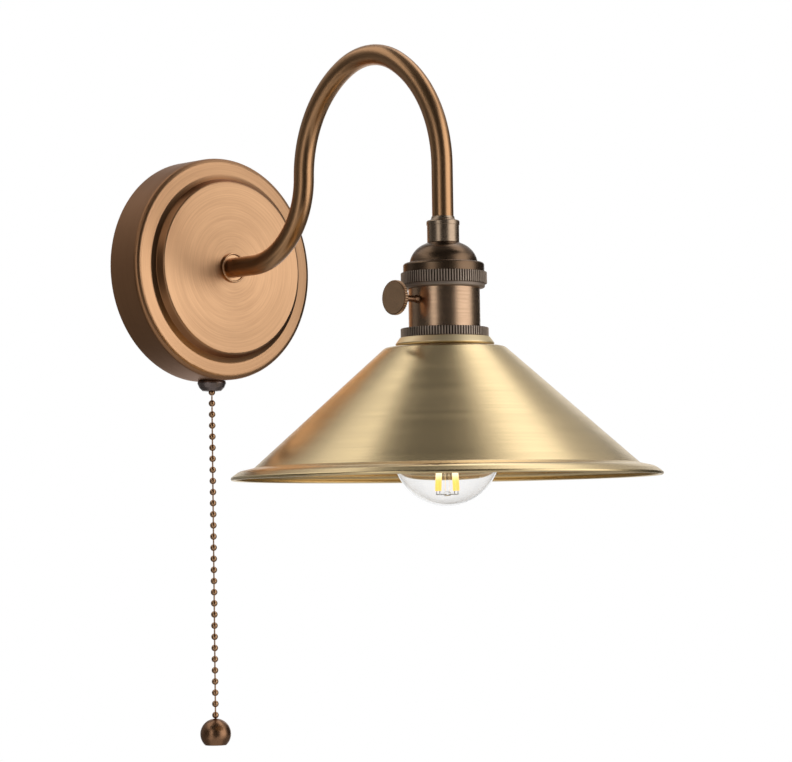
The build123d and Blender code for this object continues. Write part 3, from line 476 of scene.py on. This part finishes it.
def soft_box(name, turn, rise, width, height, power):
    """Rectangular lamp that faces the light."""
    light = bpy.data.lights.new(name, "AREA")
    light.shape = "RECTANGLE"
    light.size, light.size_y = width, height
    light.energy = power
    holder = bpy.data.objects.new(name, light)
    bpy.context.scene.collection.objects.link(holder)
    holder.matrix_world = facing_centre(turn, rise, LAMP_DISTANCE)
    holder.visible_camera = False


def studio_sheet(name, width, height, place, material):
    """Flat sheet that belongs to the studio, not to the light."""
    shape = bmesh.new()
    size = Matrix.Diagonal((width, height, 1, 1))
    bmesh.ops.create_grid(shape, x_segments=1, y_segments=1, size=0.5, matrix=place @ size)
    mesh = bpy.data.meshes.new(name)
    shape.to_mesh(mesh)
    shape.free()
    mesh.materials.append(material)
    sheet = bpy.data.objects.new(name, mesh)
    bpy.context.scene.collection.objects.link(sheet)
    return sheet


def dark_card(name, turn, rise, width, height, shade, distance=CARD_DISTANCE):
    """Flat grey card that only shows in reflections."""
    material = bpy.data.materials.new(name)
    material.use_nodes = True
    tree = material.node_tree
    tree.nodes.clear()
    glow = tree.nodes.new("ShaderNodeEmission")
    feed(tree, glow.inputs["Color"], (shade, shade, shade))
    feed(tree, tree.nodes.new("ShaderNodeOutputMaterial").inputs["Surface"], glow.outputs[0])
    card = studio_sheet(name, width, height, facing_centre(turn, rise, distance), material)
    card.visible_camera = card.visible_diffuse = card.visible_transmission = card.visible_shadow = False


def make_world():
    """White surroundings, dimmer where they only light matt surfaces."""
    world = bpy.data.worlds.new("studio_white")
    bpy.context.scene.world = world
    world.use_nodes = True
    tree = world.node_tree
    rays = tree.nodes.new("ShaderNodeLightPath").outputs
    mirrored = maths(tree, "MAXIMUM", rays["Is Glossy Ray"], rays["Is Transmission Ray"])
    seen = maths(tree, "MAXIMUM", rays["Is Camera Ray"], mirrored)
    background = tree.nodes["Background"].inputs
    feed(tree, background["Color"], (1, 1, 1))
    feed(tree, background["Strength"], ramp(tree, seen, 0.0, 1.0, DIFFUSE_WORLD, 1.0, smooth=False))


def make_floor():
    finish = Finish("floor_pale", (0.86, 0.86, 0.86), 0.9)
    studio_sheet("floor", FLOOR_SIDE, FLOOR_SIDE, Matrix.Translation(FLOOR_CENTRE), finish.material)


make_camera()
make_world()
make_floor()
soft_box("soft_right", turn=66, rise=14, width=1.36, height=2.0, power=6.3)
soft_box("soft_left", turn=-33, rise=8, width=0.40, height=1.0, power=0.6)
soft_box("soft_high_right", turn=130, rise=62.5, width=1.4, height=0.75, power=2.4)
soft_box("soft_high_left", turn=-104, rise=52, width=1.3, height=0.9, power=2.5)
dark_card("card_front", turn=6, rise=5, width=2.5, height=3.0, shade=0.035, distance=2.2)
dark_card("card_front_top", turn=0, rise=62, width=3.4, height=1.9, shade=0.04)
dark_card("card_left", turn=-71, rise=0, width=1.95, height=2.2, shade=0.07)
dark_card("card_left_back", turn=-128, rise=0, width=2.7, height=1.7, shade=0.24)
dark_card("card_left_high", turn=-128, rise=41, width=2.7, height=1.4, shade=0.38, distance=2.05)
dark_card("card_right_back", turn=126, rise=0, width=2.3, height=2.0, shade=0.03)
dark_card("card_right_high", turn=145, rise=37, width=2.2, height=0.9, shade=0.42, distance=2.05)
dark_card("card_top", turn=-130, rise=86, width=1.35, height=1.35, shade=0.11, distance=1.8)
dark_card("card_low_left", turn=-118, rise=-38, width=0.9, height=0.6, shade=0.16, distance=0.75)
dark_card("card_low_right", turn=134, rise=-46, width=0.9, height=0.6, shade=0.22, distance=0.72)

bpy.context.scene.view_settings.view_transform = "Standard"
